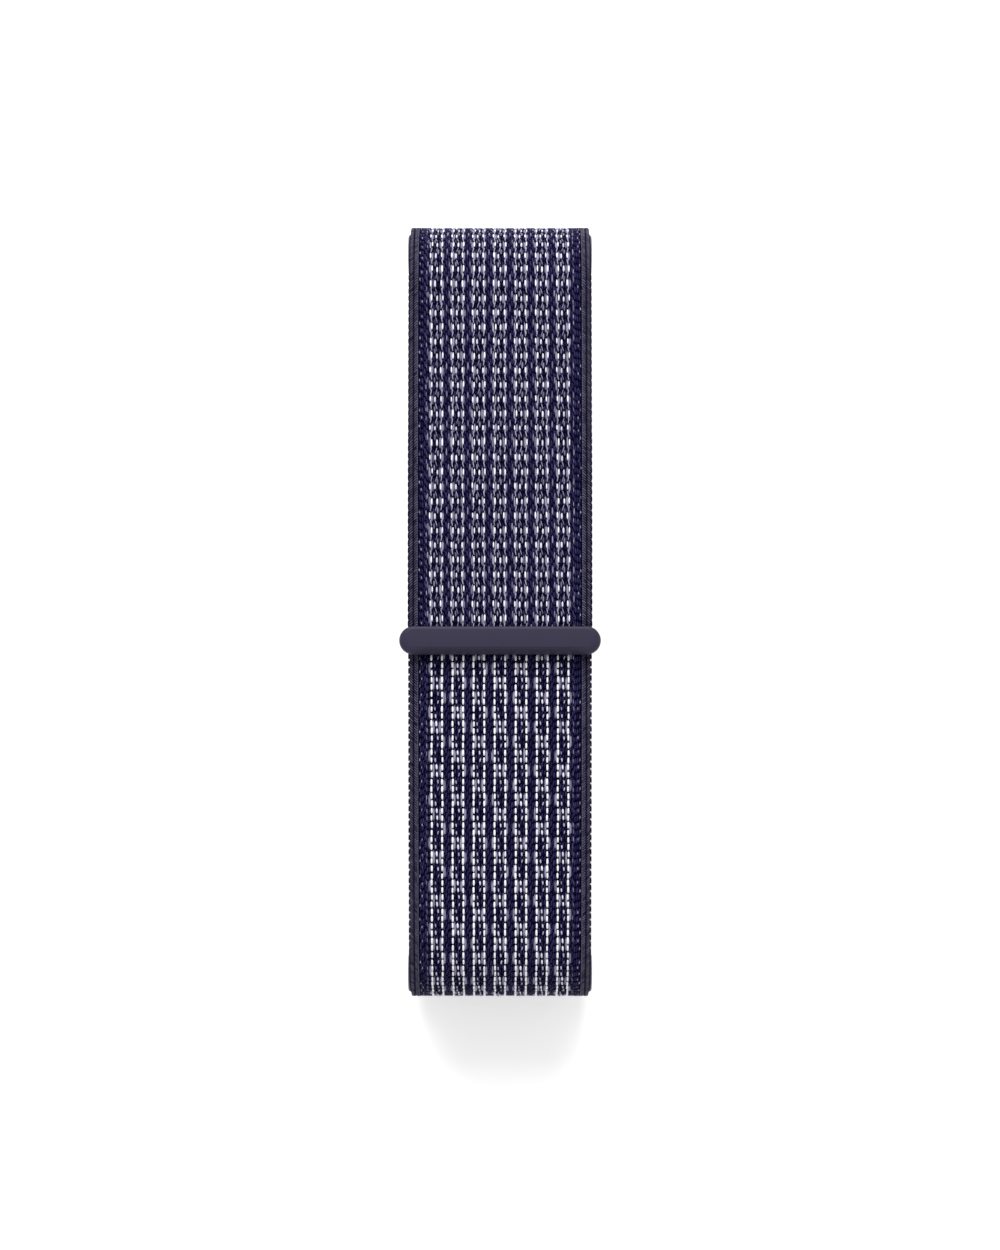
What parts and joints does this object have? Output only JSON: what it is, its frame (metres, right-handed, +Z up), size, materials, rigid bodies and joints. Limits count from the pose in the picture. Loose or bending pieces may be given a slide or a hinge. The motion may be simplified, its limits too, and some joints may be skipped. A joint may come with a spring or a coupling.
{
  "type": "fitness tracker band",
  "caption": "Woven wrist strap folded back through a lug and closed by hook and loop, with a bar on the tail's end and a sprung latch lug at each end for a tracker.",
  "frame": {"origin": "on the ground under the middle of the arch, between the two lugs' feet", "axes": "+X across the strap, +Y towards the lug that the strap folds back through, +Z up from the lugs' feet to the outer face"},
  "size_m": [0.0262, 0.1054, 0.0415],
  "materials": {
    "webbing": "woven nylon with bright reflective threads",
    "hook_tape": "woven nylon tape",
    "hooks": "moulded micro hooks",
    "bar": "fine matte moulding",
    "thread": "bonded polyester thread",
    "pad": "moulded elastomer",
    "steel": "drawn stainless steel",
    "latch": "moulded acetal",
    "lug": "fine matte moulding, glass-filled nylon"
  },
  "bodies": {
    "front": {"strap_front": "webbing", "strap_lower_shoulder": "webbing", "strap_upper_shoulder": "webbing", "tail_shoulder": "webbing", "tail_base": "webbing"},
    "upper_arm": {"strap_upper_leg": "webbing", "tail_leg": "webbing", "strap_upper_fold": "webbing"},
    "lower_arm": {"strap_lower_leg": "webbing", "strap_end_loop": "webbing", "strap_end_flap": "webbing", "end_loop_stitches": "thread"},
    "peeling_part": {"tail_middle": "webbing"},
    "curling_part": {"tail_end": "webbing", "hook_backing": "hook_tape", "hook_field": "hooks", "end_bar_cover": "bar", "end_bar_back": "bar"},
    "upper_lug": {"upper_lug_body": "lug", "upper_lug_pin": "steel", "upper_lug_latch_spring": "steel", "upper_lug_latch_cap": "latch", "upper_lug_pads": "pad"},
    "lower_lug": {"lower_lug_body": "lug", "lower_lug_pin": "steel", "lower_lug_latch_spring": "steel", "lower_lug_latch_cap": "latch", "lower_lug_pads": "pad"},
    "upper_latch": {"upper_lug_latch": "latch"},
    "lower_latch": {"lower_lug_latch": "latch"}
  },
  "joints": [
    {"name": "upper_flex", "type": "hinge", "parent": "front", "child": "upper_arm", "pos_m": [0, 0.04667, 0.03311], "axis": [-1, 0, 0], "range_deg": [-30, 20], "stiffness_Nm_per_rad": 0.08, "deforming": ["strap_upper_shoulder", "tail_shoulder"]},
    {"name": "lower_flex", "type": "hinge", "parent": "front", "child": "lower_arm", "pos_m": [0, -0.0474, 0.03151], "axis": [1, 0, 0], "range_deg": [-30, 20], "stiffness_Nm_per_rad": 0.08, "deforming": ["strap_lower_shoulder"]},
    {"name": "upper_lug_pivot", "type": "hinge", "parent": "upper_arm", "child": "upper_lug", "pos_m": [0, 0.05003, 0.0094], "axis": [-1, 0, 0], "range_deg": [-22, 22], "stiffness_Nm_per_rad": 0.03},
    {"name": "lower_lug_pivot", "type": "hinge", "parent": "lower_arm", "child": "lower_lug", "pos_m": [0, -0.05003, 0.0094], "axis": [1, 0, 0], "range_deg": [-22, 22], "stiffness_Nm_per_rad": 0.03},
    {"name": "tail_peel", "type": "hinge", "parent": "front", "child": "peeling_part", "pos_m": [0, 0.03545, 0.0385], "axis": [-1, 0, 0], "range_deg": [0, 50]},
    {"name": "tail_curl", "type": "hinge", "parent": "peeling_part", "child": "curling_part", "pos_m": [0, 0.02333, 0.03968], "axis": [-1, 0, 0], "range_deg": [0, 60]},
    {"name": "upper_latch_press", "type": "slide", "parent": "upper_lug", "child": "upper_latch", "axis": [0, 1, 0], "range_m": [0, 0.0006], "stiffness_N_per_m": 300, "springref_m": -0.001, "deforming": ["upper_lug_latch_spring"]},
    {"name": "lower_latch_press", "type": "slide", "parent": "lower_lug", "child": "lower_latch", "axis": [0, -1, 0], "range_m": [0, 0.0006], "stiffness_N_per_m": 300, "springref_m": -0.001, "deforming": ["lower_lug_latch_spring"]}
  ],
  "couplings": [
    {"joint": "tail_curl", "follows": "tail_peel", "ratio": 1.2}
  ]
}
